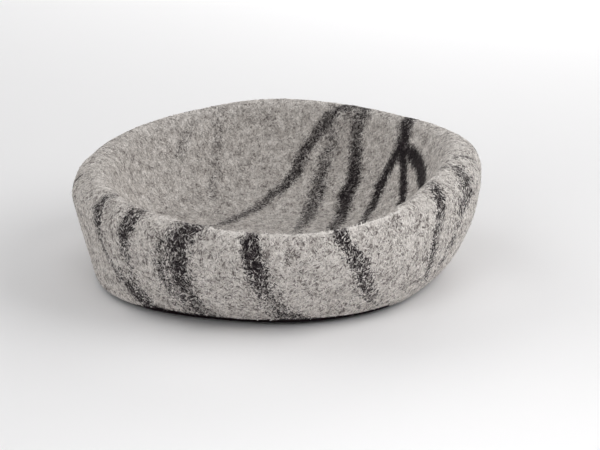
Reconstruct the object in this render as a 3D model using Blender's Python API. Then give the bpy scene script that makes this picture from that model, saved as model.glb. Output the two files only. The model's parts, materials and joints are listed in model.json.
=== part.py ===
"""A wool felt cat cave, pushed in on itself so that it stands as an open bed.

The cave is one seamless pouch of felt with one round entrance. Its upper half is pushed
down into its lower half. From the middle of the base the felt runs out to the heel, up
the outer wall, over the soft fold that makes the rim, down the inner wall and across the
inner floor, which lies just above the base. The entrance breaks the rim at the front: its
lower edge stands up there as a thin lip, and the rest of its edge runs down the front of
the inner wall and round over the inner floor.

Metres, +Z up, with the front towards -Y. The origin is the middle of the base, on the
surface that the cave stands on. A direction is an angle in degrees from +X, turning
towards the back.
"""

import math
from collections import namedtuple

import bmesh
import bpy

# Driving sizes
FELT = 0.007  # thickness of the felt
LAYER_GAP = 0.003  # air between the base and the inner floor
HEEL = 0.017  # rounding between the base and the outer wall
FOLD_DROP = 0.027  # from the top of the rim down to the widest part of its fold
FOLD_TURN = math.radians(62)  # how far the fold rounds before it runs into the bowl
BOWL_LEAN = 0.045  # how far down the bowl keeps the lean that the fold ends with
BOWL_CURVE = 0.075  # how far out from the floor's edge the bowl starts to level out
BOWL_FLOOR = 0.095  # radius of the level inner floor

# The entrance, in directions and along the felt
ENTRANCE_MIDDLE = 281.0
ENTRANCE_HALF_WIDTH = 26.0
ENTRANCE_DEPTH = 0.140  # from the rim down the inner side to its far edge
ENTRANCE_FULLNESS = 0.75  # power that shapes its edge: lower is squarer
ENTRANCE_SPREAD = 0.35  # how much the felt's lines spread apart round it
SPREAD_REACH = 75.0  # degrees beyond the entrance in which they close up again
LIP_BLEND = 0.30  # share of the entrance's width in which the fold opens into the lip

# How the cave stands on each side, going round from the right
Side = namedtuple("Side", "direction rim height crest_set_in fold_width foot bulge")
SIDES = (
    # rim: radius at the widest part; height: of the crest; crest_set_in: crest inside the
    # rim; fold_width: outer to inner face; foot: radius of the base; bulge: of the wall
    Side(0.0, 0.243, 0.144, 0.028, 0.049, 0.203, 0.9),
    Side(45.0, 0.248, 0.130, 0.016, 0.038, 0.208, 0.4),
    Side(90.0, 0.243, 0.137, 0.017, 0.038, 0.206, 0.6),
    Side(135.0, 0.242, 0.124, 0.016, 0.038, 0.206, 0.6),
    Side(180.0, 0.236, 0.121, 0.029, 0.050, 0.210, 0.2),
    Side(215.0, 0.239, 0.124, 0.023, 0.044, 0.222, 0.0),
    Side(255.0, 0.242, 0.121, 0.010, 0.036, 0.202, 0.8),
    Side(281.0, 0.247, 0.121, 0.006, 0.036, 0.204, 0.3),
    Side(307.0, 0.238, 0.127, 0.011, 0.038, 0.205, 1.2),
    Side(335.0, 0.240, 0.141, 0.028, 0.048, 0.200, 1.2),
)

# Rows of points from the middle of the base to the middle of the inner floor
BASE_ROWS = 3
HEEL_ROWS = 4
WALL_ROWS = 6
FOLD_ROWS = 5
INNER_ROWS = 14
CREST_ROW = BASE_ROWS + HEEL_ROWS + WALL_ROWS + FOLD_ROWS
LAST_ROW = CREST_ROW + INNER_ROWS

# Columns of points round the cave
ENTRANCE_COLUMNS = 14
OTHER_COLUMNS = 50
COLUMNS = ENTRANCE_COLUMNS + OTHER_COLUMNS

EDGE_ROUNDING = 0.002
SHARP_EDGE = math.radians(60)
FLOOR_HEIGHT = 2 * FELT + LAYER_GAP
WOOL_GREY = (0.40, 0.38, 0.36, 1.0)
WOOL_ROUGHNESS = 0.95


def side_at(direction):
    """The sizes of the cave in one direction, on a smooth closed curve through SIDES."""
    count = len(SIDES)
    turn = direction % 360.0
    start = max(i for i, side in enumerate(SIDES) if side.direction <= turn)
    near = [SIDES[(start + step) % count] for step in (-1, 0, 1, 2)]
    angles = [near[1].direction + (side.direction - near[1].direction) % 360.0 for side in near]
    angles[0] -= 360.0
    span = angles[2] - angles[1]
    t = (turn - angles[1]) / span
    sizes = []
    for before, a, b, after in zip(*near):
        slope_a = (b - before) / (angles[2] - angles[0]) * span
        slope_b = (after - a) / (angles[3] - angles[1]) * span
        sizes.append(
            a * (2 * t**3 - 3 * t**2 + 1)
            + slope_a * (t**3 - 2 * t**2 + t)
            + b * (3 * t**2 - 2 * t**3)
            + slope_b * (t**3 - t**2)
        )
    return Side(*sizes)


def eased(t):
    """0 to 1 with a soft start and a soft end."""
    t = min(max(t, 0.0), 1.0)
    return t * t * (3 - 2 * t)


def past_entrance(direction):
    """The turn from the middle of the entrance to a direction."""
    return (direction - ENTRANCE_MIDDLE + 180.0) % 360.0 - 180.0


def entrance_share(direction):
    """Where a direction falls across the entrance: 0 and 1 at its ends."""
    return 0.5 + past_entrance(direction) / (2 * ENTRANCE_HALF_WIDTH)


def wall_radius(foot, top, bulge, share):
    """The radius of a wall that leans from its foot to its top and bulges on the way."""
    return foot + (top - foot) * (share + bulge * share * (1 - share))


def outer_point(direction, row):
    """Radius and height of the felt's face from the middle of the base to the crest."""
    side = side_at(direction)
    widest = side.height - FOLD_DROP
    heel_turn = math.atan2(widest - HEEL, (side.rim - side.foot) * (1 + side.bulge))
    heel_top = HEEL - HEEL * math.cos(heel_turn)
    base = side.foot - HEEL * math.sin(heel_turn)
    if row <= BASE_ROWS:
        return base * row / BASE_ROWS, 0.0
    row -= BASE_ROWS
    if row <= HEEL_ROWS:
        turn = heel_turn * row / HEEL_ROWS
        return base + HEEL * math.sin(turn), HEEL - HEEL * math.cos(turn)
    row -= HEEL_ROWS
    if row <= WALL_ROWS:
        share = row / WALL_ROWS
        radius = wall_radius(side.foot, side.rim, side.bulge, share)
        return radius, heel_top + (widest - heel_top) * share
    return fold_point(side, direction, (row - WALL_ROWS) / FOLD_ROWS)


def fold_point(side, direction, share):
    """The outer half of the fold, which opens into a nearly upright lip at the entrance."""
    across = entrance_share(direction)
    lip = eased(min(across, 1 - across) / LIP_BLEND)
    turn = math.radians(90) * share
    inward = (1 - lip) * (1 - math.cos(turn)) + lip * share * share
    upward = (1 - lip) * math.sin(turn) + lip * share
    return side.rim - side.crest_set_in * inward, side.height - FOLD_DROP + FOLD_DROP * upward


def on_curve(handles, share):
    """The radius and height at a share of a smooth curve with four handles."""
    a, b, c, d = handles
    rest = 1 - share
    return tuple(
        a[i] * rest**3 + 3 * b[i] * rest**2 * share + 3 * c[i] * rest * share**2 + d[i] * share**3
        for i in range(2)
    )


def inner_line(direction):
    """Points down the visible inner face, from the crest to the middle of the floor."""
    side = side_at(direction)
    crest = side.rim - side.crest_set_in
    reach = side.fold_width - side.crest_set_in
    steps = 8
    line = []
    for step in range(steps + 1):
        turn = FOLD_TURN * step / steps
        drop = FOLD_DROP * (1 - math.cos(turn))
        line.append((crest - reach * math.sin(turn), side.height - drop))
    lean = math.atan2(FOLD_DROP * math.sin(FOLD_TURN), reach * math.cos(FOLD_TURN))
    bowl = (
        line[-1],
        (line[-1][0] - BOWL_LEAN * math.cos(lean), line[-1][1] - BOWL_LEAN * math.sin(lean)),
        (BOWL_FLOOR + BOWL_CURVE, FLOOR_HEIGHT),
        (BOWL_FLOOR, FLOOR_HEIGHT),
    )
    for step in range(1, 2 * steps + 1):
        line.append(on_curve(bowl, step / (2 * steps)))
    line.append((0.0, FLOOR_HEIGHT))
    return line


def lengths_along(line):
    """The distance of each point of a line from its start."""
    lengths = [0.0]
    for here, there in zip(line, line[1:]):
        lengths.append(lengths[-1] + math.dist(here, there))
    return lengths


def inner_point(direction, distance):
    """Radius and height at a distance from the crest, down the inner side."""
    line = inner_line(direction)
    lengths = lengths_along(line)
    for i in range(1, len(line)):
        if distance <= lengths[i]:
            share = (distance - lengths[i - 1]) / (lengths[i] - lengths[i - 1])
            radius = line[i - 1][0] + (line[i][0] - line[i - 1][0]) * share
            height = line[i - 1][1] + (line[i][1] - line[i - 1][1]) * share
            return radius, height
    return line[-1]


def column_direction(column):
    """The direction of a column: the first ones cross the entrance from its left end."""
    start = ENTRANCE_MIDDLE - ENTRANCE_HALF_WIDTH
    if column <= ENTRANCE_COLUMNS:
        return start + 2 * ENTRANCE_HALF_WIDTH * column / ENTRANCE_COLUMNS
    rest = 360.0 - 2 * ENTRANCE_HALF_WIDTH
    return start + 360.0 - rest * (COLUMNS - column) / OTHER_COLUMNS


def inner_place(column, row):
    """Direction, radius and height on the inner side, which starts at the entrance's edge."""
    direction = column_direction(column)
    whole = lengths_along(inner_line(direction))[-1]
    start = whole / INNER_ROWS / 2
    if column < ENTRANCE_COLUMNS:
        across = math.sin(math.pi * column / ENTRANCE_COLUMNS)
        start = max(start, ENTRANCE_DEPTH * across**ENTRANCE_FULLNESS)
    share = (row - CREST_ROW - 1) / (INNER_ROWS - 1)
    distance = start + (whole - start) * share
    past = past_entrance(direction)
    close = 1 - eased((abs(past) - ENTRANCE_HALF_WIDTH) / SPREAD_REACH)
    past += past * ENTRANCE_SPREAD * close * math.sin(math.pi * distance / whole)
    direction = ENTRANCE_MIDDLE + past
    return direction, *inner_point(direction, distance)


def place_point(point, column, row):
    """Move one point of the round pouch to its place on the pushed-in cave."""
    if row <= CREST_ROW:
        direction = column_direction(column)
        radius, height = outer_point(direction, row)
    else:
        direction, radius, height = inner_place(column, row)
    angle = math.radians(direction)
    point.co = (radius * math.cos(angle), radius * math.sin(angle), height)


def row_and_column(co):
    """The row and column of a point of the unit sphere that the pouch starts as."""
    row = round(math.acos(max(-1.0, min(1.0, -co.z))) / math.pi * LAST_ROW)
    column = round(math.atan2(co.y, co.x) / math.tau * COLUMNS) % COLUMNS
    return row, column


def wool_material():
    """Plain grey wool."""
    material = bpy.data.materials.new("grey_wool_felt")
    material.use_nodes = True
    shader = material.node_tree.nodes["Principled BSDF"]
    shader.inputs["Base Color"].default_value = WOOL_GREY
    shader.inputs["Roughness"].default_value = WOOL_ROUGHNESS
    shader.inputs["Metallic"].default_value = 0.0
    return material


def felt_cave():
    """The cave: a closed round pouch, opened at the entrance and pushed in."""
    pouch = bmesh.new()
    bmesh.ops.create_uvsphere(pouch, u_segments=COLUMNS, v_segments=LAST_ROW, radius=1.0)
    places = {point: row_and_column(point.co) for point in pouch.verts}
    entrance = []
    for face in pouch.faces:
        rows = {places[point][0] for point in face.verts}
        columns = sorted(places[point][1] for point in face.verts)
        if rows == {CREST_ROW, CREST_ROW + 1} and columns[-1] <= ENTRANCE_COLUMNS:
            entrance.append(face)
    for point, (row, column) in places.items():
        place_point(point, column, row)
    bmesh.ops.delete(pouch, geom=entrance, context="FACES_ONLY")
    mesh = bpy.data.meshes.new("felt_cave")
    pouch.to_mesh(mesh)
    pouch.free()
    mesh.shade_smooth()
    cave = bpy.data.objects.new("felt_cave", mesh)
    bpy.context.scene.collection.objects.link(cave)
    mesh.materials.append(wool_material())
    add_thickness(cave)
    return cave


def add_thickness(cave):
    """Give the felt its thickness on the pouch's inside, and round the entrance's edge."""
    thickness = cave.modifiers.new("felt thickness", "SOLIDIFY")
    thickness.thickness = FELT
    thickness.offset = -1.0
    thickness.use_even_offset = True
    rounding = cave.modifiers.new("rounded felt edge", "BEVEL")
    rounding.width = EDGE_ROUNDING
    rounding.segments = 2
    rounding.limit_method = "ANGLE"
    rounding.angle_limit = SHARP_EDGE
    facets = cave.modifiers.new("facets along the folds", "TRIANGULATE")
    facets.quad_method = "SHORTEST_DIAGONAL"


def main():
    for old in list(bpy.data.objects):
        bpy.data.objects.remove(old, do_unlink=True)
    felt_cave()


if __name__ == "__main__":
    main()
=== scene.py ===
"""Looks of a wool felt cat cave, pushed in on itself so that it stands as an open bed.

The cave is one seamless pouch of hand-felted wool with one round entrance. It is made here
as a finer copy of its CAD solid: a round pouch whose points are moved along the felt, from
the middle of the base out to the heel, up the outer wall, over the soft fold that makes the
rim, down the inner wall and across the inner floor. The dark wool that was laid over the
grey before felting is written as a table of routes on the felt. Loose wool is scattered
over the finished surface as many thin bent strands.

Metres, +Z up, with the front towards -Y. A direction is an angle in degrees from +X,
turning towards the back. A distance along the felt is counted from the crest of the rim:
above zero down the inner side, and below zero down the outer side.
"""

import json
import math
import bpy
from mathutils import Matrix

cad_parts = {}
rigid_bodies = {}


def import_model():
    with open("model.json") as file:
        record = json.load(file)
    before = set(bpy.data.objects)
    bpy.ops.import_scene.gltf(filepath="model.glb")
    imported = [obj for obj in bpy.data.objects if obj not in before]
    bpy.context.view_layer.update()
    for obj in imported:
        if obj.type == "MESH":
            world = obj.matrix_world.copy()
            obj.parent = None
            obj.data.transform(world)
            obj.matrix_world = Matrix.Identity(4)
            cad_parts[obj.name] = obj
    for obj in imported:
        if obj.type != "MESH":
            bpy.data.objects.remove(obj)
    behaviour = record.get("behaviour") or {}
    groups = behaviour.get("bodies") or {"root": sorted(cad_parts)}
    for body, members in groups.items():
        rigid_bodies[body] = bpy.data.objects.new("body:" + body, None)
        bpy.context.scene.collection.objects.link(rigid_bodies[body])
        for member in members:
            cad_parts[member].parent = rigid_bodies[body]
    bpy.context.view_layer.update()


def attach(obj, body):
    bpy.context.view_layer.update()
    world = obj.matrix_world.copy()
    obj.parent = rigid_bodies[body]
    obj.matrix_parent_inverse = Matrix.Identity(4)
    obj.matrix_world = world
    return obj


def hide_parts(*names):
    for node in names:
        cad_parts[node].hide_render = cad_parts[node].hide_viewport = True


bl_info = {
    "name": "Felt Cat Cave",
    "version": (1, 0, 0),
    "blender": (4, 5, 0),
    "location": "View3D > Sidebar > Felt Cave",
    "description": "A pushed-in wool felt cat cave with its loose wool and a plain studio",
    "category": "Add Mesh",
}

from collections import namedtuple

import bmesh
import bpy
from bpy.props import FloatProperty, FloatVectorProperty, PointerProperty
from mathutils import Vector, kdtree, noise

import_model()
CAD_NODE = "felt_cave"
BODY = "root"

# Sizes of the cave, as in its CAD solid, with a tighter heel
FELT = 0.007
LAYER_GAP = 0.003
HEEL = 0.009
FOLD_DROP = 0.027
FOLD_TURN = math.radians(62)
BOWL_LEAN = 0.045
BOWL_CURVE = 0.075
BOWL_FLOOR = 0.095
FLOOR_HEIGHT = 2 * FELT + LAYER_GAP
ENTRANCE_MIDDLE = 281.0
ENTRANCE_HALF_WIDTH = 26.0
ENTRANCE_DEPTH = 0.140
ENTRANCE_FULLNESS = 0.75
ENTRANCE_SPREAD = 0.35
SPREAD_REACH = 75.0
LIP_BLEND = 0.30
EDGE_CURL = 0.0034  # of the base's edge, up off the floor
CURL_START = 0.135  # from the middle of the base
CURL_REACH = 0.040
CURL_HEIGHT = 0.025  # the felt above it isn't raised
EDGE_ROUNDING = 0.0011
SHARP_TURN = math.radians(50)  # edges that turn more than this are rounded
INNER_LINE_STEPS = 24

# How the felt swells, with so many broad and narrow swells on a metre
BROAD_SWELLS = 17.0
NARROW_SWELLS = 46.0
NARROW_SHARE = 0.4  # height of the narrow ones, to the broad ones
NARROW_SHIFT = Vector((5.0, 0.0, 0.0))  # so that their noise differs from the broad ones'
STILL_HEIGHT = 0.017  # above the base, the felt swells freely only from here up

Side = namedtuple("Side", "direction rim height crest_set_in fold_width foot bulge")
SIDES = (
    # rim: radius at the widest part; height: of the crest; crest_set_in: crest inside the
    # rim; fold_width: outer to inner face; foot: radius of the base; bulge: of the wall
    Side(0.0, 0.243, 0.144, 0.028, 0.049, 0.203, 0.9),
    Side(45.0, 0.248, 0.130, 0.016, 0.038, 0.208, 0.4),
    Side(90.0, 0.243, 0.137, 0.017, 0.038, 0.206, 0.6),
    Side(135.0, 0.242, 0.124, 0.016, 0.038, 0.206, 0.6),
    Side(180.0, 0.236, 0.121, 0.029, 0.050, 0.210, 0.2),
    Side(215.0, 0.239, 0.124, 0.023, 0.044, 0.222, 0.0),
    Side(255.0, 0.242, 0.121, 0.010, 0.036, 0.202, 0.8),
    Side(281.0, 0.247, 0.121, 0.006, 0.036, 0.204, 0.3),
    Side(307.0, 0.238, 0.127, 0.011, 0.038, 0.205, 1.2),
    Side(335.0, 0.240, 0.141, 0.028, 0.048, 0.200, 1.2),
)

# Rows of points from the middle of the base to the middle of the inner floor
BASE_ROWS = 10
HEEL_ROWS = 10
WALL_ROWS = 34
FOLD_ROWS = 16
INNER_ROWS = 90
CREST_ROW = BASE_ROWS + HEEL_ROWS + WALL_ROWS + FOLD_ROWS
LAST_ROW = CREST_ROW + INNER_ROWS
INNER_BLEND_ROWS = 12  # over which the outer side's looks turn into the inner side's

# Painted shadow: the base is plain charcoal up to just round its edge, and furthest at the front,
# where the shadow under the edge falls
PAINTED_SHADOW_ROWS = BASE_ROWS + 6
MORE_PAINTED_SHADOW_ROWS = 5
PAINTED_SHADOW_FRONT = 270.0
PAINTED_SHADOW_FRONT_HALF_WIDTH = 34.0
PAINTED_SHADOW_FRONT_FADE = 16.0

# Columns of points round the cave
ENTRANCE_COLUMNS = 48
OTHER_COLUMNS = 200
COLUMNS = ENTRANCE_COLUMNS + OTHER_COLUMNS

# Dark wool laid on the felt, as routes of points. direction: in degrees; distance and
# half_width: in millimetres in the table; density: from 0, none, to over 1, hardly any grey
Laid = namedtuple("Laid", "direction distance half_width density")
DARK_WOOL = {
    "left end": (
        (214, 6, 5, 0.2), (216, -6, 7, 0.6), (216, -20, 9, 0.72), (217, -33, 8, 0.72),
        (217, -57, 6, 0.6), (218, -73, 6, 0.35), (221, -86, 7, 0.5), (226, -103, 8, 0.7),
        (230, -120, 9, 0.8), (236, -140, 7, 0.5),
    ),
    "left": (
        (230, 30, 6, 0.25), (231, -1, 9, 0.6), (230, -11, 11, 0.75), (230, -22, 11, 0.78),
        (228, -40, 9, 0.72), (227, -55, 8, 0.6), (228, -73, 7, 0.45), (228, -91, 7, 0.5),
        (230, -108, 8, 0.6), (233, -126, 7, 0.6),
    ),
    "left of the entrance": (
        (256, 50, 8, 0.4), (252, 10, 9, 0.7), (250, -3, 11, 0.75), (248, -10, 14, 0.82),
        (246, -22, 15, 0.82), (246, -33, 14, 0.85), (246, -47, 13, 0.85), (246, -60, 12, 0.82),
        (246, -72, 11, 0.75), (247, -85, 10, 0.65), (248, -101, 12, 0.6), (249, -118, 14, 0.6),
        (254, -140, 12, 0.5),
    ),
    "left of the entrance, thin": (
        (243, -20, 9, 0.35), (242, -37, 12, 0.5), (241, -54, 12, 0.55), (241, -69, 12, 0.6),
        (242, -85, 12, 0.55), (243, -103, 11, 0.45), (245, -120, 10, 0.35),
    ),
    "front": (
        (265.3, -2, 8, 0.75), (265.3, -10, 10, 0.88), (265.3, -22, 10, 0.9),
        (266.3, -38, 10, 0.88), (267, -50, 11, 0.75), (268, -66, 12, 0.65), (269.5, -80, 12, 0.5),
        (270.8, -94, 11, 0.5), (272.5, -108, 12, 0.6), (277, -122, 11, 0.6), (281, -134, 9, 0.45),
    ),
    "right of the front": (
        (287, -2, 8, 0.76), (288, -13, 9, 0.8), (290, -25, 10, 0.78), (292, -39, 10, 0.72),
        (294, -54, 10, 0.66), (295, -69, 10, 0.6), (297, -84, 9, 0.5), (300, -104, 8, 0.35),
        (303, -125, 6, 0.2),
    ),
    "right": (
        (326, 10, 5, 0.3), (324, -1, 7, 0.65), (322, -10, 8, 0.78), (321, -22, 8, 0.78),
        (320, -34, 7, 0.65), (318, -48, 7, 0.6), (318, -65, 7, 0.6), (318, -85, 7, 0.65),
        (319, -105, 7, 0.45), (322, -130, 5, 0.2),
    ),
    "right end": (
        (336, 10, 4, 0.4), (338, 2, 4, 0.55), (338, -8, 7, 0.6), (338, -18, 12, 0.6),
        (337, -29, 15, 0.62), (334, -38, 14, 0.6), (331, -47, 10, 0.55), (330, -58, 8, 0.5),
        (328, -68, 6, 0.45), (328, -81, 6, 0.55), (326, -93, 6, 0.5), (324, -115, 5, 0.3),
    ),
    "right end, over the rim": (
        (342, 6, 3, 0.3), (346, 0, 4, 0.45), (348, -8, 5, 0.55), (350, -17, 5, 0.55),
        (350, -27, 4, 0.5), (349, -40, 4, 0.3),
    ),
    "inside, long": (
        (62, -30, 9, 0.6), (64, -6, 10, 0.7), (66, 6, 10, 0.75), (70, 20, 9, 0.8),
        (74, 44, 8, 0.85), (79, 74, 8, 0.85), (82, 102, 8, 0.85), (86, 122, 7, 0.8),
        (92, 136, 7, 0.75), (97, 151, 7, 0.75), (108, 166, 7, 0.7), (122, 177, 7, 0.75),
        (134, 177, 6, 0.6), (148, 172, 5, 0.3),
    ),
    "inside, faint": (
        (67, 20, 7, 0.3), (68, 38, 8, 0.4), (69, 60, 9, 0.5), (70, 82, 10, 0.6),
        (71, 108, 10, 0.72), (70, 132, 10, 0.78), (70, 164, 10, 0.75), (67, 190, 8, 0.7),
        (64, 226, 7, 0.5), (40, 250, 6, 0.3),
    ),
    "inside, middle": (
        (61, -60, 10, 0.7), (60, -20, 11, 0.7), (60, 8, 11, 0.75), (60, 44, 9, 0.8),
        (58, 74, 8, 0.95), (56, 98, 9, 1.1), (56, 124, 10, 1.2), (52, 146, 9, 1.0),
        (42, 188, 8, 0.8), (24, 212, 7, 0.5),
    ),
    "inside right, trunk": (
        (44, -50, 8, 0.7), (42, 6, 9, 1.0), (40, 24, 11, 1.2), (39, 44, 10, 1.3),
    ),
    "inside right, left branch": (
        (40, 46, 7, 1.3), (42, 72, 7, 1.2), (42, 96, 8, 1.2), (40, 114, 7, 1.1),
        (36, 142, 6, 0.95), (26, 180, 5, 0.4),
    ),
    "inside right, middle branch": (
        (38, 50, 6, 1.3), (31, 78, 7, 1.3), (27, 92, 7, 1.3), (22, 108, 7, 1.2), (14, 140, 5, 0.8),
    ),
    "inside right, right branch": (
        (37, 44, 8, 1.3), (32, 47, 9, 1.4), (24, 56, 9, 1.4), (17, 66, 10, 1.4), (9, 80, 9, 1.3),
        (356, 105, 6, 0.5),
    ),
    "inside left, faint": (
        (121, 22, 6, 0.25), (126, 42, 7, 0.4), (131, 62, 6, 0.25),
    ),
    "inside back, faint": (
        (110, -30, 6, 0.5), (110, 12, 6, 0.2), (114, 70, 7, 0.3), (119, 110, 6, 0.4),
        (123, 128, 5, 0.3),
    ),
    "back outside, left": (
        (150, -4, 6, 0.4), (148, -30, 10, 0.9), (143, -60, 10, 0.9), (139, -90, 9, 0.8),
        (140, -125, 8, 0.5),
    ),
    "back outside, middle": (
        (110, -30, 7, 0.7), (107, -55, 9, 0.9), (101, -80, 10, 0.9), (98, -110, 9, 0.7),
        (96, -140, 7, 0.4),
    ),
    "back outside, right": (
        (61, -50, 10, 0.7), (65, -80, 10, 0.9), (68, -105, 9, 0.8), (72, -130, 7, 0.5),
    ),
    "right outside": (
        (44, -45, 8, 0.7), (38, -70, 9, 0.9), (31, -95, 9, 0.8), (26, -130, 7, 0.5),
    ),
    "far right outside": (
        (5, -20, 4, 0.3), (3, -45, 8, 0.8), (359, -75, 9, 0.9), (352, -110, 8, 0.7),
        (350, -140, 6, 0.4),
    ),
    "far left outside": (
        (188, -15, 5, 0.3), (186, -40, 8, 0.7), (181, -70, 9, 0.8), (180, -105, 8, 0.6),
        (184, -135, 6, 0.3),
    ),
}
ROUTE_STEP = 0.003  # between the points that a route is drawn out to
WIDEST_REACH = 0.030  # no point further than this from a route is looked at

# Where loose strands lie, and the edge of the entrance, which is painted lighter as a highlight
STRANDS_FROM = 0.008  # height of the lowest ones
STRANDS_FADE = 0.006
LIP_HIGHLIGHT_WIDTH = 0.0055  # width of the edge of the entrance that is painted lighter, as a highlight

# Tones of wool go from brown at 0 through grey to ivory at 1, laid wool from charcoal to smoky
USUAL_TONE = 0.46
FIBRE_TONE = 0.45  # how far light and dark fibres are from the usual one
MATTED_TONE = 0.56  # the tone that those of the inner side are nearer to
BROWN_TO_GREY = (0.0, 0.5)
GREY_TO_IVORY = (0.4, 1.0)
CHARCOAL_TO_SMOKY = (0.5, 1.4)
LIP_HIGHLIGHT = 0.4  # how much lighter the edge of the entrance is painted, as a highlight where the cut edge catches the light

# How the inner side, where fibres are matted, differs from the outer side
MATTED = 0.55  # share by which its tones are nearer to MATTED_TONE
CALM = 0.5  # share by which its dark wool is less ragged
CRISP = 0.5  # softness of the change from grey to dark wool on the outer side
SOFTER_INSIDE = 0.7  # added to it on the inner side

# Fibres of the felt lie in these turns from the upright, about the line from front to back
FIBRE_TURNS = (-32.0, 8.0, 58.0)
FIBRE_WIDTH = 0.0013
FIBRE_LENGTH = 0.008
FIBRE_ROUGHNESS = 0.6
FIBRE_BEND = 0.012
BENDS = 40.0  # how many there are on a metre
FIBRE_SHIFT = (0.37, 0.11, 0.23)  # between two turns' noises, so that they differ
FIBRE_RELIEF = 0.0008
RELIEF_STRENGTH = 0.6

# What share of the noise counts as a light or a dark fibre, and the sum of a light and a
# dark one as a chance from 0 to 1
LIGHT_FIBRE = (0.58, 0.68)
DARK_FIBRE = (0.42, 0.32)
CHANCE = (0.78, 1.24)

# Noise on the wool. scale: how many spots there are on a metre; strength: how far it goes
Noise = namedtuple("Noise", "scale strength")
NOISE_DETAIL = 2.0
PATCHES = Noise(100.0, 1.1)
FLECKS = Noise(380.0, 1.0)
WIDE_RAGS = Noise(75.0, 0.9)
FINE_RAGS = Noise(240.0, 1.2)
RAGGED = 0.75  # how far inside or outside its edge laid wool fades

# Wide soft lamps. direction and up: where each shines from, in degrees; softness: how wide
# it looks from the cave, in degrees; power: in watts on each square metre
SoftLamp = namedtuple("SoftLamp", "name direction up softness power")
SOFT_LAMPS = (
    SoftLamp("ceiling lamp", 0.0, 90.0, 70.0, 0.48),
    SoftLamp("right lamp", 0.0, 31.0, 50.0, 1.30),
    SoftLamp("back left lamp", 150.0, 31.0, 50.0, 0.98),
    SoftLamp("front left lamp", 230.0, 26.0, 40.0, 0.74),
)

# Lamps over the floor round the cave, all out of the photo's view. spread: how wide its light
# opens, in degrees; power: in watts
FloorLamp = namedtuple("FloorLamp", "name place target size spread power")
FLOOR_LAMPS = (
    FloorLamp("back floor lamp", (0.6, 2.6, 1.2), (0.2, 1.6, 0.0), 1.6, 180.0, 19.5),
    FloorLamp("back right floor lamp", (1.2, 2.0, 1.0), (0.9, 1.2, 0.0), 1.0, 180.0, 3.0),
    FloorLamp("right floor lamp", (1.6, -0.6, 0.9), (1.0, -0.5, 0.0), 1.2, 180.0, 7.2),
    FloorLamp("front floor lamp", (0.15, -0.80, 1.2), (0.15, -0.75, 0.0), 0.8, 64.0, 0.8),
)

FLOOR_REACH = 6.0  # from the middle of the base

# The camera of the photo: level, looking a little down along +Y
LENS = 90.0
SENSOR = 36.0
LOOKING_DOWN = math.radians(20.0)
CAMERA_PLACE = (0.0303, -1.6822, 0.6559)


class FeltProperties(bpy.types.PropertyGroup):
    """How the hand-felted surface swells, and how its edge at the entrance thins out."""

    swelling: FloatProperty(
        name="Swelling",
        description="How far the hand-felted surface swells and dips",
        default=0.0014,
        min=0.0,
        max=0.003,
        unit="LENGTH",
    )
    edge_thickness: FloatProperty(
        name="Edge thickness",
        description="Thickness of the felt at the edge of the entrance",
        default=0.0042,
        min=0.002,
        max=FELT,
        unit="LENGTH",
    )
    edge_taper: FloatProperty(
        name="Edge taper",
        description="How far from the edge of the entrance the felt starts to thin",
        default=0.012,
        min=0.001,
        unit="LENGTH",
    )


class WoolProperties(bpy.types.PropertyGroup):
    """The colours of the wool."""

    grey: FloatVectorProperty(
        name="Grey wool",
        description="The main colour of the felt",
        default=(0.600, 0.560, 0.528),
        subtype="COLOR",
    )
    ivory: FloatVectorProperty(
        name="Ivory wool",
        description="The lightest fibres in the felt",
        default=(0.880, 0.838, 0.800),
        subtype="COLOR",
    )
    brown: FloatVectorProperty(
        name="Brown wool",
        description="The dark natural fibres that are mixed into the grey",
        default=(0.165, 0.141, 0.132),
        subtype="COLOR",
    )
    charcoal: FloatVectorProperty(
        name="Charcoal wool",
        description="The darkest fibres of the wool that is laid over the grey",
        default=(0.013, 0.009, 0.011),
        subtype="COLOR",
    )
    smoky: FloatVectorProperty(
        name="Smoky wool",
        description="The palest fibres of the wool that is laid over the grey",
        default=(0.100, 0.079, 0.085),
        subtype="COLOR",
    )


class LooseWoolProperties(bpy.types.PropertyGroup):
    """How many loose strands lie on the felt, and how they are turned."""

    fullness: FloatProperty(
        name="Fullness",
        description="How many strands lie on the felt, as a share of the usual number",
        default=1.0,
        min=0.0,
        max=1.0,
        subtype="FACTOR",
    )
    spread: FloatProperty(
        name="Spread",
        description="How far strands turn to either side of the way that the felt runs",
        default=math.radians(75),
        min=0.0,
        max=math.pi,
        subtype="ANGLE",
    )


class StudioProperties(bpy.types.PropertyGroup):
    """The floor and the light."""

    floor: FloatVectorProperty(
        name="Floor",
        description="Colour of the floor",
        default=(0.88, 0.875, 0.88),
        subtype="COLOR",
    )
    sky: FloatProperty(
        name="Sky",
        description="Brightness of the white all round",
        default=0.1,
        min=0.0,
    )
    lamps: FloatProperty(
        name="Soft lamps",
        description="Brightness of the wide soft lamps, as a share of their usual one",
        default=1.0,
        min=0.0,
        subtype="FACTOR",
    )
    floor_lamps: FloatProperty(
        name="Floor lamps",
        description="Brightness of the lamps over the floor, as a share of their usual one",
        default=1.0,
        min=0.0,
        subtype="FACTOR",
    )


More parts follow.
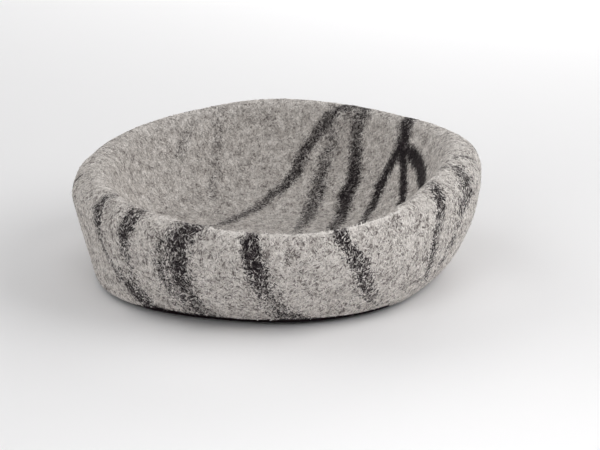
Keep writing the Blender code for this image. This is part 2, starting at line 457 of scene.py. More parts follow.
def side_at(direction):
    """The sizes of the cave in one direction, on a smooth closed curve through SIDES."""
    count = len(SIDES)
    turn = direction % 360.0
    start = max(i for i, side in enumerate(SIDES) if side.direction <= turn)
    near = [SIDES[(start + step) % count] for step in (-1, 0, 1, 2)]
    angles = [near[1].direction + (side.direction - near[1].direction) % 360.0 for side in near]
    angles[0] -= 360.0
    span = angles[2] - angles[1]
    t = (turn - angles[1]) / span
    sizes = []
    for before, a, b, after in zip(*near):
        slope_a = (b - before) / (angles[2] - angles[0]) * span
        slope_b = (after - a) / (angles[3] - angles[1]) * span
        sizes.append(
            a * (2 * t**3 - 3 * t**2 + 1)
            + slope_a * (t**3 - 2 * t**2 + t)
            + b * (3 * t**2 - 2 * t**3)
            + slope_b * (t**3 - t**2)
        )
    return Side(*sizes)


def eased(t):
    """0 to 1 with a soft start and a soft end."""
    t = min(max(t, 0.0), 1.0)
    return t * t * (3 - 2 * t)


def turn_from(start, direction):
    """The turn from one direction to another, the short way round."""
    return (direction - start + 180.0) % 360.0 - 180.0


def wall_radius(foot, top, bulge, share):
    """The radius of a wall that leans from its foot to its top and bulges on the way."""
    return foot + (top - foot) * (share + bulge * share * (1 - share))


def outer_point(direction, row):
    """Radius and height of the felt's face from the middle of the base to the crest."""
    side = side_at(direction)
    widest = side.height - FOLD_DROP
    heel_turn = math.atan2(widest - HEEL, (side.rim - side.foot) * (1 + side.bulge))
    heel_top = HEEL - HEEL * math.cos(heel_turn)
    base = side.foot - HEEL * math.sin(heel_turn)
    if row <= BASE_ROWS:
        return base * row / BASE_ROWS, 0.0
    row -= BASE_ROWS
    if row <= HEEL_ROWS:
        turn = heel_turn * row / HEEL_ROWS
        return base + HEEL * math.sin(turn), HEEL - HEEL * math.cos(turn)
    row -= HEEL_ROWS
    if row <= WALL_ROWS:
        share = row / WALL_ROWS
        radius = wall_radius(side.foot, side.rim, side.bulge, share)
        return radius, heel_top + (widest - heel_top) * share
    return fold_point(side, direction, (row - WALL_ROWS) / FOLD_ROWS)


def fold_point(side, direction, share):
    """The outer half of the fold, which opens into a nearly upright lip at the entrance."""
    across = 0.5 + turn_from(ENTRANCE_MIDDLE, direction) / (2 * ENTRANCE_HALF_WIDTH)
    lip = eased(min(across, 1 - across) / LIP_BLEND)
    turn = math.radians(90) * share
    inward = (1 - lip) * (1 - math.cos(turn)) + lip * share * share
    upward = (1 - lip) * math.sin(turn) + lip * share
    return side.rim - side.crest_set_in * inward, side.height - FOLD_DROP + FOLD_DROP * upward


def on_curve(handles, share):
    """The radius and height at a share of a smooth curve with four handles."""
    a, b, c, d = handles
    rest = 1 - share
    return tuple(
        a[i] * rest**3 + 3 * b[i] * rest**2 * share + 3 * c[i] * rest * share**2 + d[i] * share**3
        for i in range(2)
    )


def inner_line(direction):
    """Points down the visible inner face, from the crest to the middle of the floor."""
    side = side_at(direction)
    crest = side.rim - side.crest_set_in
    reach = side.fold_width - side.crest_set_in
    line = []
    for step in range(INNER_LINE_STEPS + 1):
        turn = FOLD_TURN * step / INNER_LINE_STEPS
        drop = FOLD_DROP * (1 - math.cos(turn))
        line.append((crest - reach * math.sin(turn), side.height - drop))
    lean = math.atan2(FOLD_DROP * math.sin(FOLD_TURN), reach * math.cos(FOLD_TURN))
    bowl = (
        line[-1],
        (line[-1][0] - BOWL_LEAN * math.cos(lean), line[-1][1] - BOWL_LEAN * math.sin(lean)),
        (BOWL_FLOOR + BOWL_CURVE, FLOOR_HEIGHT),
        (BOWL_FLOOR, FLOOR_HEIGHT),
    )
    for step in range(1, 2 * INNER_LINE_STEPS + 1):
        line.append(on_curve(bowl, step / (2 * INNER_LINE_STEPS)))
    line.append((0.0, FLOOR_HEIGHT))
    return line


def lengths_along(line):
    """The distance of each point of a line from its start."""
    lengths = [0.0]
    for here, there in zip(line, line[1:]):
        lengths.append(lengths[-1] + math.dist(here, there))
    return lengths


def point_along(line, lengths, distance):
    """Radius and height at a distance along a line."""
    for i in range(1, len(line)):
        if distance <= lengths[i]:
            share = (distance - lengths[i - 1]) / (lengths[i] - lengths[i - 1])
            radius = line[i - 1][0] + (line[i][0] - line[i - 1][0]) * share
            height = line[i - 1][1] + (line[i][1] - line[i - 1][1]) * share
            return radius, height
    return line[-1]


def column_direction(column):
    """The direction of a column: the first ones cross the entrance from its left end."""
    start = ENTRANCE_MIDDLE - ENTRANCE_HALF_WIDTH
    if column <= ENTRANCE_COLUMNS:
        return start + 2 * ENTRANCE_HALF_WIDTH * column / ENTRANCE_COLUMNS
    rest = 360.0 - 2 * ENTRANCE_HALF_WIDTH
    return start + 360.0 - rest * (COLUMNS - column) / OTHER_COLUMNS


def inner_place(column, row):
    """Direction, radius and height on the inner side, which starts at the entrance's edge."""
    direction = column_direction(column)
    whole = lengths_along(inner_line(direction))[-1]
    start = whole / INNER_ROWS / 2
    if column < ENTRANCE_COLUMNS:
        across = math.sin(math.pi * column / ENTRANCE_COLUMNS)
        start = max(start, ENTRANCE_DEPTH * across**ENTRANCE_FULLNESS)
    share = (row - CREST_ROW - 1) / (INNER_ROWS - 1)
    distance = start + (whole - start) * share
    past = turn_from(ENTRANCE_MIDDLE, direction)
    close = 1 - eased((abs(past) - ENTRANCE_HALF_WIDTH) / SPREAD_REACH)
    past += past * ENTRANCE_SPREAD * close * math.sin(math.pi * distance / whole)
    direction = ENTRANCE_MIDDLE + past
    line = inner_line(direction)
    return direction, *point_along(line, lengths_along(line), distance)


def painted_shadow_rows(column):
    """How many rows of points, from the middle of the base, are painted charcoal as the shadow
    under its edge.
    """
    past = abs(turn_from(PAINTED_SHADOW_FRONT, column_direction(column)))
    front = 1 - eased((past - PAINTED_SHADOW_FRONT_HALF_WIDTH) / PAINTED_SHADOW_FRONT_FADE)
    return PAINTED_SHADOW_ROWS + round(MORE_PAINTED_SHADOW_ROWS * front)


def at(direction, radius, height):
    """The place of a direction, radius and height."""
    angle = math.radians(direction)
    return Vector((radius * math.cos(angle), radius * math.sin(angle), height))


def pouch_place(column, row):
    """The place on the pushed-in cave of one point of the round pouch."""
    if row > CREST_ROW:
        return at(*inner_place(column, row))
    direction = column_direction(column)
    return at(direction, *outer_point(direction, row))


def felt_place(direction, distance):
    """The place on the felt at a direction and a distance from the crest."""
    if distance >= 0:
        line = inner_line(direction)
    else:
        line = [outer_point(direction, row) for row in range(CREST_ROW, -1, -1)]
    return at(direction, *point_along(line, lengths_along(line), abs(distance)))


def row_and_column(co):
    """The row and column of a point of the unit sphere that the pouch starts as."""
    row = round(math.acos(max(-1.0, min(1.0, -co.z))) / math.pi * LAST_ROW)
    column = round(math.atan2(co.y, co.x) / math.tau * COLUMNS) % COLUMNS
    return row, column


def drawn_out(rows):
    """A route of laid wool as closely spaced places, each with its half width and density."""
    route = [
        Laid(direction, distance / 1000, half_width / 1000, density)
        for direction, distance, half_width, density in rows
    ]
    drawn = []
    for start, end in zip(route, route[1:]):
        turn = turn_from(start.direction, end.direction)
        apart = (felt_place(*start[:2]) - felt_place(*end[:2])).length
        count = max(1, math.ceil(apart / ROUTE_STEP))
        for step in range(count):
            distance, half_width, density = (
                a + (b - a) * (step / count) for a, b in zip(start[1:], end[1:])
            )
            place = felt_place(start.direction + turn * (step / count), distance)
            drawn.append((place, half_width, density))
    return drawn


def lay_grain(pouch, places):
    """Write on each point which way the felt runs there, from the base over the rim."""
    grid = {place: point for point, place in places.items()}
    grain = pouch.verts.layers.float_vector["grain"]
    for (row, column), point in grid.items():
        start, end = (row - 1, row) if row <= CREST_ROW else (row, row + 1)
        if (start, column) in grid and (end, column) in grid:
            point[grain] = grid[end, column].co - grid[start, column].co


def lay_dark_wool(pouch, places):
    """Write on each point how far inside the dark wool it lies and how dense that is. The rows
    under the base's edge are written as fully dark, as painted shadow.
    """
    laid = [spot for route in DARK_WOOL.values() for spot in drawn_out(route)]
    tree = tree_of([place for place, _half_width, _density in laid])
    depth = pouch.verts.layers.float["dark_wool"]
    dense = pouch.verts.layers.float["dark_wool_density"]
    for point, (row, column) in places.items():
        # Rows under the base's edge are painted fully dark: painted shadow, not laid wool
        under = row <= painted_shadow_rows(column)
        point[depth] = 1.0 if under else -1.0
        point[dense] = 1.0 if under else 0.0
        for _place, i, away in tree.find_range(point.co, WIDEST_REACH):
            half_width, density = laid[i][1:]
            inside = 1.0 - away / half_width
            if inside > point[depth]:
                point[depth] = inside
                point[dense] = density


def swell(pouch, height):
    """Let the felt swell and dip softly, as hand-felted wool does, but keep the base flat.

    The edge of the base curls up a little off the floor.
    """
    for point in pouch.verts:
        out = eased((math.hypot(*point.co.xy) - CURL_START) / CURL_REACH)
        point.co.z += EDGE_CURL * (out * eased(1 - point.co.z / CURL_HEIGHT))
    pouch.normal_update()
    moves = {}
    for point in pouch.verts:
        broad = noise.noise(point.co * BROAD_SWELLS)
        narrow = noise.noise(point.co * NARROW_SWELLS + NARROW_SHIFT)
        free = eased((point.co.z - EDGE_CURL) / STILL_HEIGHT)
        moves[point] = point.normal * height * free * (broad + NARROW_SHARE * narrow)
    for point, move in moves.items():
        point.co += move


def put_in_order(pouch):
    """Order points and faces by their places, so that each run scatters the same strands."""

    def number(point):
        row, column = row_and_column(point.co)
        return row * COLUMNS + column

    pouch.verts.sort(key=number)
    pouch.verts.index_update()
    pouch.faces.index_update()
    faces = sorted(pouch.faces, key=lambda face: sorted(point.index for point in face.verts))
    order = {face.index: i for i, face in enumerate(faces)}
    pouch.faces.sort(key=lambda face: order[face.index])


def tree_of(places):
    """A tree that finds the nearest of some places."""
    tree = kdtree.KDTree(len(places))
    for i, place in enumerate(places):
        tree.insert(place, i)
    tree.balance()
    return tree


def make_pouch(felt):
    """The cave's felt: a closed round pouch, opened at the entrance and pushed in."""
    pouch = bmesh.new()
    bmesh.ops.create_uvsphere(pouch, u_segments=COLUMNS, v_segments=LAST_ROW, radius=1.0)
    for name in ("dark_wool", "dark_wool_density", "inner_side", "wool_cover", "lip"):
        pouch.verts.layers.float.new(name)
    pouch.verts.layers.float_vector.new("grain")
    put_in_order(pouch)
    places = {point: row_and_column(point.co) for point in pouch.verts}
    entrance = []
    for face in pouch.faces:
        rows = {places[point][0] for point in face.verts}
        columns = sorted(places[point][1] for point in face.verts)
        if rows == {CREST_ROW, CREST_ROW + 1} and columns[-1] <= ENTRANCE_COLUMNS:
            entrance.append(face)
        # Faces under the base's edge take the painted shadow material
        face.material_index = int(max(rows) <= painted_shadow_rows(columns[0]))
    for point, (row, column) in places.items():
        point.co = pouch_place(column, row)
    lay_grain(pouch, places)
    bmesh.ops.delete(pouch, geom=entrance, context="FACES_ONLY")
    lay_dark_wool(pouch, places)
    swell(pouch, felt.swelling)
    edge = tree_of([point.co.copy() for point in pouch.verts if point.is_boundary])
    layers = pouch.verts.layers.float
    inside, cover, lip = layers["inner_side"], layers["wool_cover"], layers["lip"]
    for point, (row, column) in places.items():
        # No strands lie on the painted shadow under the base's edge
        clear = row <= painted_shadow_rows(column)
        point[inside] = eased((row - CREST_ROW + INNER_BLEND_ROWS / 2) / INNER_BLEND_ROWS)
        point[cover] = 0.0 if clear else eased((point.co.z - STRANDS_FROM) / STRANDS_FADE)
        # Painted highlight: points near the entrance's edge are marked to be painted lighter
        point[lip] = 1.0 - eased(edge.find(point.co)[2] / LIP_HIGHLIGHT_WIDTH)
    cave = add_object("felt_pouch", new_mesh(pouch, "felt_pouch"))
    thin_the_edge(cave, edge, felt)
    return cave


def thin_the_edge(cave, edge, felt):
    """Give the felt its thickness on the pouch's inside, thinner towards the entrance."""
    least = felt.edge_thickness / FELT
    group = cave.vertex_groups.new(name="thickness")
    for point in cave.data.vertices:
        away = edge.find(point.co)[2]
        share = least + (1 - least) * math.sqrt(min(1.0, away / felt.edge_taper))
        group.add([point.index], share, "REPLACE")
    thickness = cave.modifiers.new("felt thickness", "SOLIDIFY")
    thickness.thickness = FELT
    thickness.offset = -1.0
    thickness.use_even_offset = True
    thickness.vertex_group = group.name
    thickness.material_offset = 2  # the pouch's inside is plain felt
    rounding = cave.modifiers.new("rounded edge", "BEVEL")
    rounding.width = EDGE_ROUNDING
    rounding.segments = 3
    rounding.limit_method = "ANGLE"
    rounding.angle_limit = SHARP_TURN


def new_mesh(shape, name):
    """A smooth mesh of a shape."""
    mesh = bpy.data.meshes.new(name)
    shape.to_mesh(mesh)
    shape.free()
    mesh.shade_smooth()
    return mesh


def add_object(name, data):
    """A new object in the scene."""
    item = bpy.data.objects.new(name, data)
    bpy.context.scene.collection.objects.link(item)
    return item


def by_identifier(sockets, identifier):
    """The one of some sockets, some of which have the same name, by its identifier."""
    return next(socket for socket in sockets if socket.identifier == identifier)


def feed(tree, socket, value):
    """Link another socket to a socket, or set a plain value on it."""
    if isinstance(value, bpy.types.NodeSocket):
        tree.links.new(value, socket)
    else:
        socket.default_value = value


def add_node(tree, kind, place, inputs=(), **settings):
    """Add a node at a place, with its settings and what feeds its inputs."""
    node = tree.nodes.new(kind)
    node.location = place
    for name, value in settings.items():
        setattr(node, name, value)
    for name, value in dict(inputs).items():
        feed(tree, node.inputs[name], value)
    return node


def new_group(name, inputs, outputs):
    """A shader node group with named sockets, and its two end nodes."""
    group = bpy.data.node_groups.new(name, "ShaderNodeTree")
    for socket, kind in inputs:
        group.interface.new_socket(socket, in_out="INPUT", socket_type=kind)
    for socket, kind in outputs:
        group.interface.new_socket(socket, in_out="OUTPUT", socket_type=kind)
    start = add_node(group, "NodeGroupInput", (-1600, 0))
    end = add_node(group, "NodeGroupOutput", (1000, 0))
    return group, start, end


def maths(tree, place, operation, *values):
    """A maths node of sockets and numbers."""
    node = add_node(tree, "ShaderNodeMath", place, enumerate(values), operation=operation)
    return node.outputs[0]


def opaque(colour):
    """A colour of three values as one of four."""
    return (*colour, 1.0)


def tint(tree, place, share, first, second):
    """A mix of two colours, each a socket or a colour, by a share."""
    node = add_node(tree, "ShaderNodeMix", place, data_type="RGBA")
    for value, name in ((share, "Factor_Float"), (first, "A_Color"), (second, "B_Color")):
        feed(tree, by_identifier(node.inputs, name), value)
    return by_identifier(node.outputs, "Result_Color")


def noise_at(tree, place, vector, scale, roughness=0.5):
    """A noise texture on a vector socket."""
    inputs = {
        "Vector": vector,
        "Scale": scale,
        "Detail": NOISE_DETAIL,
        "Roughness": roughness,
    }
    return add_node(tree, "ShaderNodeTexNoise", place, inputs)


def spots(tree, place, vector, kind):
    """Noise of a kind, as a value about 0."""
    x, y = place
    texture = noise_at(tree, place, vector, kind.scale)
    shifted = maths(tree, (x + 250, y), "SUBTRACT", texture.outputs["Fac"], 0.5)
    return maths(tree, (x + 450, y), "MULTIPLY", shifted, kind.strength)


def smoothed(tree, value, low, high):
    """A value taken softly from 0 to 1 between low and high."""
    x, y = value.node.location
    inputs = {"Value": value, "From Min": low, "From Max": high}
    node = add_node(
        tree, "ShaderNodeMapRange", (x + 200, y), inputs, interpolation_type="SMOOTHSTEP"
    )
    return node.outputs["Result"]


def attribute(tree, place, name):
    """The value of a piece's own attribute."""
    return add_node(tree, "ShaderNodeAttribute", place, attribute_name=name).outputs["Fac"]


def crossing_fibres_group():
    """Node group: felted fibres that cross each other, as light ones, dark ones and height."""
    group, start, end = new_group(
        "crossing fibres",
        [("Vector", "NodeSocketVector")],
        [
            ("Light", "NodeSocketFloat"),
            ("Dark", "NodeSocketFloat"),
            ("Chance", "NodeSocketFloat"),
            ("Height", "NodeSocketFloat"),
        ],
    )
    vector = start.outputs["Vector"]
    wander = noise_at(group, (-1400, -200), vector, BENDS)
    inputs = {0: wander.outputs["Color"], 1: (0.5, 0.5, 0.5)}
    aside = add_node(
        group, "ShaderNodeVectorMath", (-1200, -200), inputs, operation="SUBTRACT"
    )
    inputs = {0: aside.outputs[0], 1: (FIBRE_BEND, FIBRE_BEND, FIBRE_BEND), 2: vector}
    bent = add_node(group, "ShaderNodeVectorMath", (-1000, 0), inputs, operation="MULTIPLY_ADD")
    fibres = []
    for i, turn in enumerate(FIBRE_TURNS):
        inputs = {
            "Vector": bent.outputs[0],
            "Location": [shift * i for shift in FIBRE_SHIFT],
            "Rotation": (0.0, math.radians(turn), 0.0),
            "Scale": (FIBRE_WIDTH, FIBRE_WIDTH, FIBRE_LENGTH),
        }
        y = -i * 300
        lay = add_node(group, "ShaderNodeMapping", (-800, y), inputs, vector_type="TEXTURE")
        fibre = noise_at(group, (-600, y), lay.outputs["Vector"], 1.0, FIBRE_ROUGHNESS)
        fibres.append(fibre.outputs["Fac"])
    most = least = fibres[0]
    for i, value in enumerate(fibres[1:]):
        most = maths(group, (-400, -i * 300), "MAXIMUM", most, value)
        least = maths(group, (-400, -i * 300 - 150), "MINIMUM", least, value)
    height = maths(group, (0, -400), "ADD", most, least)
    inputs = {"Value": height, "From Min": CHANCE[0], "From Max": CHANCE[1]}
    chance = add_node(group, "ShaderNodeMapRange", (200, -600), inputs)
    for name, value in (
        ("Light", smoothed(group, most, *LIGHT_FIBRE)),
        ("Dark", smoothed(group, least, *DARK_FIBRE)),
        ("Chance", chance.outputs["Result"]),
        ("Height", height),
    ):
        feed(group, end.inputs[name], value)
    return group


def dark_wool_group():
    """Node group: the share of dark fibres, dense along the laid routes and ragged beside."""
    group, start, end = new_group(
        "dark wool", [("Vector", "NodeSocketVector")], [("Share", "NodeSocketFloat")]
    )
    vector = start.outputs["Vector"]
    depth = attribute(group, (-1400, 300), "dark_wool")
    dense = attribute(group, (-1400, 100), "dark_wool_density")
    wide = spots(group, (-1400, -100), vector, WIDE_RAGS)
    fine = spots(group, (-1400, -400), vector, FINE_RAGS)
    inner = attribute(group, (-1400, -700), "inner_side")
    calm = maths(group, (-1200, -700), "MULTIPLY_ADD", inner, -CALM, 1.0)
    rough = maths(group, (-800, -200), "ADD", wide, fine)
    rough = maths(group, (-700, -200), "MULTIPLY", rough, calm)
    edge = maths(group, (-600, 200), "ADD", depth, rough)
    share = smoothed(group, edge, -RAGGED, RAGGED)
    amount = maths(group, (0, 200), "MULTIPLY", share, dense)
    feed(group, end.inputs["Share"], amount)
    return group


def mottle_and_lip_highlight_group():
    """Node group: soft patches and small flecks, as a shift of the wool's tone, with a painted
    highlight along the edge of the entrance.
    """
    group, start, end = new_group(
        "mottle", [("Vector", "NodeSocketVector")], [("Shift", "NodeSocketFloat")]
    )
    vector = start.outputs["Vector"]
    patch = spots(group, (-1400, 200), vector, PATCHES)
    fleck = spots(group, (-1400, -200), vector, FLECKS)
    shift = maths(group, (0, 0), "ADD", patch, fleck)
    # Painted highlight along the edge of the entrance
    lip = attribute(group, (-200, 300), "lip")
    painted_highlight = maths(group, (0, 300), "MULTIPLY", lip, LIP_HIGHLIGHT)
    feed(group, end.inputs["Shift"], maths(group, (200, 0), "ADD", shift, painted_highlight))
    return group


def wool_colour(tree, tone, wool):
    """The colour of wool of a tone, from brown through grey to ivory."""
    x, y = tone.node.location
    grey = smoothed(tree, tone, *BROWN_TO_GREY)
    colour = tint(tree, (x + 400, y), grey, opaque(wool.brown), opaque(wool.grey))
    ivory = smoothed(tree, tone, *GREY_TO_IVORY)
    return tint(tree, (x + 600, y), ivory, colour, opaque(wool.ivory))


def dark_colour(tree, tone, wool):
    """The colour of laid wool of a tone, from charcoal to smoky."""
    x, y = tone.node.location
    smoky = smoothed(tree, tone, *CHARCOAL_TO_SMOKY)
    return tint(tree, (x + 500, y - 800), smoky, opaque(wool.charcoal), opaque(wool.smoky))


def matted(tree, tone):
    """A tone, brought nearer to one tone on the inner side, where fibres are matted."""
    x, y = tone.node.location
    inner = attribute(tree, (x, y - 500), "inner_side")
    keep = maths(tree, (x, y - 300), "MULTIPLY_ADD", inner, -MATTED, 1.0)
    apart = maths(tree, (x + 200, y), "SUBTRACT", tone, MATTED_TONE)
    apart = maths(tree, (x + 300, y), "MULTIPLY", apart, keep)
    return maths(tree, (x + 350, y), "ADD", apart, MATTED_TONE)


def dark_share(tree, share, chance):
    """How far a fibre of a chance is dark: crisp on the outer side and soft on the inner one."""
    over = maths(tree, (-900, -300), "SUBTRACT", share, chance)
    inner = attribute(tree, (-1300, -600), "inner_side")
    softness = maths(tree, (-1100, -500), "MULTIPLY_ADD", inner, SOFTER_INSIDE, CRISP)
    return smoothed(tree, maths(tree, (-700, -300), "DIVIDE", over, softness), -0.5, 0.5)


def wool_shader(material):
    """The Principled shader of a wool material, matte with a soft sheen."""
    material.use_nodes = True
    shader = material.node_tree.nodes["Principled BSDF"]
    shader.inputs["Roughness"].default_value = 0.95
    shader.inputs["Metallic"].default_value = 0.0
    shader.inputs["Specular IOR Level"].default_value = 0.1
    shader.inputs["Sheen Weight"].default_value = 0.13
    shader.inputs["Sheen Roughness"].default_value = 0.45
    shader.inputs["Sheen Tint"].default_value = (1.0, 0.98, 0.95, 1.0)
    return shader


def on_vector(tree, place, group, vector):
    """A node group in a material, fed with a vector."""
    return add_node(tree, "ShaderNodeGroup", place, {"Vector": vector}, node_tree=group)


def felt_material(name, wool, fibres, mottle, dark_wool=None):
    """Grey felt of ivory, grey and brown fibres, with any dark wool laid over it."""
    material = bpy.data.materials.new(name)
    shader = wool_shader(material)
    tree = material.node_tree
    vector = add_node(tree, "ShaderNodeTexCoord", (-2000, 0)).outputs["Object"]
    strands = on_vector(tree, (-1700, 200), fibres, vector)
    patches = on_vector(tree, (-1700, 0), mottle, vector)
    light, dark = strands.outputs["Light"], strands.outputs["Dark"]
    tone = maths(tree, (-1500, 200), "MULTIPLY_ADD", light, FIBRE_TONE, USUAL_TONE)
    less = maths(tree, (-1500, 0), "MULTIPLY", dark, FIBRE_TONE)
    tone = matted(tree, maths(tree, (-1300, 100), "SUBTRACT", tone, less))
    tone = maths(tree, (-900, 100), "ADD", tone, patches.outputs["Shift"])
    colour = wool_colour(tree, tone, wool)
    if dark_wool is not None:
        laid = on_vector(tree, (-1700, -400), dark_wool, vector)
        cover = dark_share(tree, laid.outputs["Share"], strands.outputs["Chance"])
        colour = tint(tree, (-200, 400), cover, colour, dark_colour(tree, tone, wool))
    feed(tree, shader.inputs["Base Color"], colour)
    inputs = {
        "Strength": RELIEF_STRENGTH,
        "Distance": FIBRE_RELIEF,
        "Height": strands.outputs["Height"],
    }
    relief = add_node(tree, "ShaderNodeBump", (-200, -200), inputs)
    feed(tree, shader.inputs["Normal"], relief.outputs["Normal"])
    return material


def painted_shadow_material(wool):
    """Painted shadow under the base's edge: flat charcoal, with no sheen or gloss to lighten it.
    """
    material = bpy.data.materials.new("pressed_dark_wool")
    shader = wool_shader(material)
    shader.inputs["Base Color"].default_value = opaque(wool.charcoal)
    shader.inputs["Sheen Weight"].default_value = 0.0
    shader.inputs["Specular IOR Level"].default_value = 0.0
    return material


def carry(piece):
    """Let a piece move with the cave."""
    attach(piece, BODY)


class FELTCAVE_OT_pouch(bpy.types.Operator):
    """Add the felt pouch, pushed in so that it stands as an open bed"""

    bl_idname = "felt_cave.add_pouch"
    bl_label = "Felt Pouch"

    def execute(self, context):
        scene = context.scene
        wool = scene.felt_cave_wool
        cave = make_pouch(scene.felt_cave_felt)
        fibres, mottle = crossing_fibres_group(), mottle_and_lip_highlight_group()
        for material in (
            felt_material("grey_wool_felt", wool, fibres, mottle, dark_wool_group()),
            # the painted shadow under the base's edge
            painted_shadow_material(wool),
            felt_material("plain_wool_felt", wool, fibres, mottle),
        ):
            cave.data.materials.append(material)
        carry(cave)
        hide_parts(CAD_NODE)
        return {"FINISHED"}


# Layers of loose strands. strands: on each square metre of felt; length and width: in metres,
# of a usual one; tilt: in degrees, how far it may stand off the felt; darkest and lightest:
# the tone of its wool, from brown at 0 through grey to ivory at 1
Layer = namedtuple("Layer", "name strands length width tilt darkest lightest seed")
LAYERS = (
    Layer("short_wool_1", 36000, 0.0055, 0.0013, 3.0, 0.0, 0.95, 11),
    Layer("short_wool_2", 36000, 0.0055, 0.0012, 4.0, 0.1, 1.05, 23),
    Layer("short_wool_3", 36000, 0.0065, 0.0010, 6.0, 0.25, 1.2, 37),
    Layer("short_wool_4", 36000, 0.0070, 0.0008, 10.0, 0.35, 1.3, 51),
    Layer("stray_wool", 9000, 0.0120, 0.00025, 30.0, 0.4, 1.0, 67),
)

# How the shapes of strands bend. bow: all one way; kink: first one way, then the other
Bend = namedtuple("Bend", "bow kink")
STRAND_BENDS = (
    Bend(-0.21, 0.08),
    Bend(-0.12, -0.15),
    Bend(-0.04, 0.19),
    Bend(0.06, -0.20),
    Bend(0.14, 0.11),
    Bend(0.23, -0.04),
)
STRAND_ROLL = 0.3
STRAND_SIZES = ((0.6, 0.7, 0.8), (1.4, 1.3, 1.2))  # smallest and largest, to a usual one
STRAND_FLATNESS = 0.4  # of its thickness, to its width
STRAND_LIFT = 0.1  # off the felt, to the sphere's radius
DRAWN_OUT = 0.3  # how much longer its middle is than a sphere's
SPHERE_WIDTH = 1.5  # of the sphere with three sides that a strand is made from
MAP_WIDTH = 0.46  # from the middle of a strand's map to its end, in a cell of 1
MAP_HEIGHT = 0.85  # of all three sides together


def make_strand(bend, layer):
    """One bent strand lying along X, pointed at both ends, on a flat map of its own.

    It starts as a sphere with three sides, which is laid down, drawn out and flattened.
    """
    strand = bmesh.new()
    bmesh.ops.create_uvsphere(strand, u_segments=3, v_segments=3, radius=1.0)
    unrolled = strand.loops.layers.uv.new("OFBake")
    for face in strand.faces:
        middle = face.calc_center_median()
        side = math.atan2(middle.y, middle.x)
        for loop in face.loops:
            co = loop.vert.co
            at_tip = abs(co.z) > 0.9
            turn = 0.0 if at_tip else math.remainder(math.atan2(co.y, co.x) - side, math.tau)
            around = side / math.tau % 1.0 + MAP_HEIGHT * turn / math.tau
            loop[unrolled].uv = (0.5 + MAP_WIDTH * co.z, around)
    for point in strand.verts:
        along = point.co.z
        bow = bend.bow * (0.5 - along * along) + bend.kink * along * (1 - along * along)
        point.co = (
            along * (1 + DRAWN_OUT - DRAWN_OUT * along * along) * layer.length / 2,
            point.co.y * layer.width / SPHERE_WIDTH + bow * layer.length,
            (point.co.x + STRAND_LIFT) * layer.width * STRAND_FLATNESS,
        )
    bmesh.ops.recalc_face_normals(strand, faces=strand.faces)
    return bpy.data.objects.new("strand", new_mesh(strand, "strand"))


RANDOM_SOCKETS = {
    "FLOAT_VECTOR": ("Min", "Max", "Value"),
    "FLOAT": ("Min_001", "Max_001", "Value_001"),
    "INT": ("Min_002", "Max_002", "Value_002"),
}


def random_value(tree, place, kind, low, high, seed):
    """A random value for each strand."""
    node = add_node(tree, "FunctionNodeRandomValue", place, {"Seed": seed}, data_type=kind)
    least, most, out = RANDOM_SOCKETS[kind]
    by_identifier(node.inputs, least).default_value = low
    by_identifier(node.inputs, most).default_value = high
    return by_identifier(node.outputs, out)


def named_attribute(tree, place, name, kind):
    """The value of an attribute of the felt, by its name."""
    node = add_node(
        tree, "GeometryNodeInputNamedAttribute", place, {"Name": name}, data_type=kind
    )
    return node.outputs[0]


def strand_points(tree, felt, layer, wool):
    """Points at random on the felt where loose wool lies, as many as the layer has strands."""
    cover = named_attribute(tree, (-1200, -200), "wool_cover", "FLOAT")
    thick = maths(tree, (-1000, -200), "MULTIPLY", cover, layer.strands * wool.fullness)
    inputs = {"Mesh": felt, "Density": thick, "Seed": layer.seed}
    return add_node(tree, "GeometryNodeDistributePointsOnFaces", (-800, 0), inputs)


def strand_rotation(tree, flat, layer, wool):
    """The rotation of a strand: along the felt's grain, then turned and tilted by chance."""
    grain = named_attribute(tree, (-1000, -500), "grain", "FLOAT_VECTOR")
    along = add_node(
        tree,
        "FunctionNodeAlignRotationToVector",
        (-700, -300),
        {"Rotation": flat, "Vector": grain},
        axis="X",
        pivot_axis="Z",
    )
    tilt = math.radians(layer.tilt)
    low, high = (-STRAND_ROLL, -tilt, -wool.spread), (STRAND_ROLL, tilt, wool.spread)
    turn = random_value(tree, (-800, -700), "FLOAT_VECTOR", low, high, layer.seed + 1)
    turned = add_node(tree, "FunctionNodeEulerToRotation", (-600, -700), {0: turn})
    inputs = {0: along.outputs[0], 1: turned.outputs[0]}
    rotate = add_node(
        tree, "FunctionNodeRotateRotation", (-400, -300), inputs, rotation_space="LOCAL"
    )
    return rotate.outputs[0]


